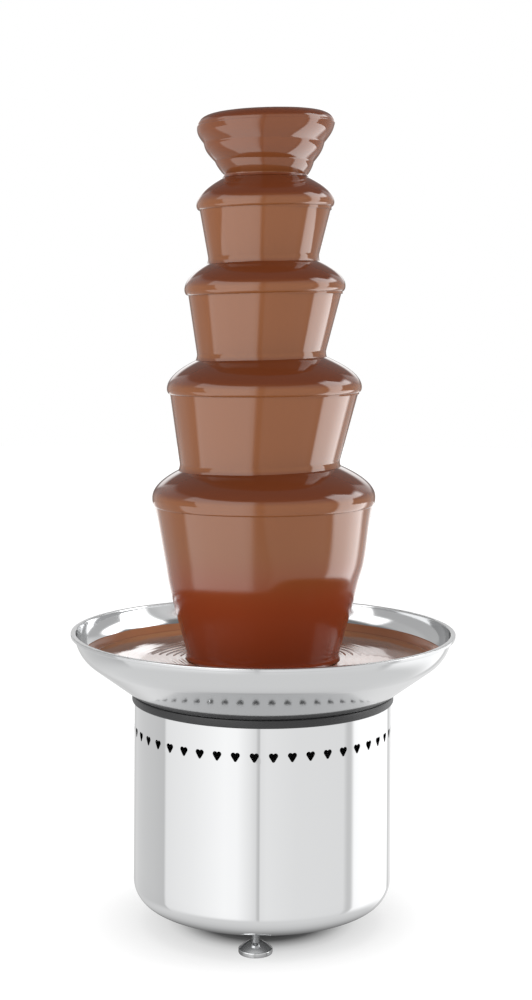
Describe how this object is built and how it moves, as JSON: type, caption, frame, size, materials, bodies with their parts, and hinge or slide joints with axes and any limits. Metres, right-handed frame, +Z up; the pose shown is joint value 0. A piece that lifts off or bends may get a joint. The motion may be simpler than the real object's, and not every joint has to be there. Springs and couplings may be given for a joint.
{
  "type": "chocolate fountain",
  "caption": "Electric chocolate fountain: polished steel drum base with heart vents, a wide heated bowl, and a tiered tower with flowing chocolate that an auger feeds.",
  "frame": {"origin": "on the table, at the fountain's axis", "axes": "+Z up along the tower, front towards -Y, controls and inlet towards +Y"},
  "size_m": [0.3786, 0.3786, 0.7982],
  "materials": {
    "polished_steel": "mirror polished",
    "chocolate": "wet gloss",
    "black_rubber": "matt",
    "brass": "turned",
    "aluminium": "cast",
    "plain_steel": "zinc plated",
    "dark_steel": "varnished laminations",
    "foot_steel": "satin",
    "pale_plastic": "matt",
    "black_plastic": "satin",
    "red_plastic": "gloss"
  },
  "bodies": {
    "base": {"drum_housing": "polished_steel", "rim_gasket": "black_rubber", "bowl": "polished_steel", "chocolate_pool": "chocolate", "hub": "polished_steel", "hub_nut": "brass", "shaft_bush": "brass", "shaft_seal": "black_rubber", "tower_posts": "polished_steel", "heating_element": "plain_steel", "heater_plate": "aluminium", "heater_nuts": "plain_steel", "stand_pillars": "plain_steel", "chassis_plate": "plain_steel", "chassis_screws": "plain_steel", "wall_brackets": "plain_steel", "gearbox_case": "aluminium", "gearbox_cover": "aluminium", "gearbox_bushes": "brass", "cluster_pin": "plain_steel", "motor_can": "plain_steel", "motor_stator": "dark_steel", "bottom_cover": "plain_steel", "cover_screws": "plain_steel", "foot_nuts": "plain_steel", "thermostat": "pale_plastic", "motor_switch": "black_plastic", "heater_switch": "black_plastic", "power_inlet": "black_plastic", "inlet_pins": "brass"},
    "drive": {"output_gear": "brass", "drive_shaft": "polished_steel", "drive_pin": "polished_steel", "auger_core": "polished_steel", "auger_flight": "polished_steel"},
    "cluster": {"cluster_gear": "brass"},
    "rotor": {"rotor": "plain_steel", "motor_pinion": "brass"},
    "tower": {"tower_tube": "polished_steel", "tier_1": "polished_steel", "tier_2": "polished_steel", "tier_3": "polished_steel", "tier_4": "polished_steel", "tier_pins": "polished_steel", "chocolate_tier_1": "chocolate", "chocolate_tier_2": "chocolate", "chocolate_tier_3": "chocolate", "chocolate_tier_4": "chocolate"},
    "crown": {"crown": "polished_steel", "chocolate_crown": "chocolate"},
    "knob": {"thermostat_knob": "black_plastic", "thermostat_spindle": "plain_steel"},
    "motor_rocker": {"motor_rocker": "red_plastic"},
    "heater_rocker": {"heater_rocker": "red_plastic"},
    "foot_pad_1": {"foot_pad_1": "foot_steel"},
    "foot_stud_1": {"foot_stud_1": "plain_steel"},
    "foot_pad_2": {"foot_pad_2": "foot_steel"},
    "foot_stud_2": {"foot_stud_2": "plain_steel"},
    "foot_pad_3": {"foot_pad_3": "foot_steel"},
    "foot_stud_3": {"foot_stud_3": "plain_steel"}
  },
  "joints": [
    {"name": "auger_spin", "type": "hinge", "parent": "base", "child": "drive", "pos_m": [0, 0, 0.15], "axis": [0, 0, 1], "continuous": true},
    {"name": "cluster_spin", "type": "hinge", "parent": "base", "child": "cluster", "pos_m": [-0.03, 0, 0.13], "axis": [0, 0, 1], "continuous": true},
    {"name": "rotor_spin", "type": "hinge", "parent": "base", "child": "rotor", "pos_m": [-0.018, 0.02079, 0.08], "axis": [0, 0, 1], "continuous": true},
    {"name": "tower_lift", "type": "slide", "parent": "base", "child": "tower", "axis": [0, 0, 1], "range_m": [0, 0.56]},
    {"name": "crown_lift", "type": "slide", "parent": "tower", "child": "crown", "axis": [0, 0, 1], "range_m": [0, 0.12]},
    {"name": "knob_turn", "type": "hinge", "parent": "base", "child": "knob", "pos_m": [0, 0.1263, 0.15], "axis": [0, -1, 0], "range_deg": [0, 270]},
    {"name": "motor_switch_rock", "type": "hinge", "parent": "base", "child": "motor_rocker", "pos_m": [0, 0.1279, 0.112], "axis": [0, 0, 1], "range_deg": [-16, 0]},
    {"name": "heater_switch_rock", "type": "hinge", "parent": "base", "child": "heater_rocker", "pos_m": [0, 0.1279, 0.086], "axis": [0, 0, 1], "range_deg": [-16, 0]},
    {"name": "foot_1_level", "type": "slide", "parent": "base", "child": "foot_pad_1", "axis": [0, 0, -1], "range_m": [-0.006, 0.012]},
    {"name": "foot_1_turn", "type": "hinge", "parent": "foot_pad_1", "child": "foot_stud_1", "pos_m": [0, -0.094, 0.03], "axis": [0, 0, -1], "range_deg": [-1740, 3470]},
    {"name": "foot_2_level", "type": "slide", "parent": "base", "child": "foot_pad_2", "axis": [0, 0, -1], "range_m": [-0.006, 0.012]},
    {"name": "foot_2_turn", "type": "hinge", "parent": "foot_pad_2", "child": "foot_stud_2", "pos_m": [0.08141, 0.047, 0.03], "axis": [0, 0, -1], "range_deg": [-1740, 3470]},
    {"name": "foot_3_level", "type": "slide", "parent": "base", "child": "foot_pad_3", "axis": [0, 0, -1], "range_m": [-0.006, 0.012]},
    {"name": "foot_3_turn", "type": "hinge", "parent": "foot_pad_3", "child": "foot_stud_3", "pos_m": [-0.08141, 0.047, 0.03], "axis": [0, 0, -1], "range_deg": [-1740, 3470]}
  ],
  "couplings": [
    {"joint": "cluster_spin", "follows": "auger_spin", "ratio": -4},
    {"joint": "rotor_spin", "follows": "auger_spin", "ratio": 12},
    {"joint": "foot_1_turn", "follows": "foot_1_level", "rad_per_m": 5026.6},
    {"joint": "foot_2_turn", "follows": "foot_2_level", "rad_per_m": 5026.6},
    {"joint": "foot_3_turn", "follows": "foot_3_level", "rad_per_m": 5026.6}
  ]
}
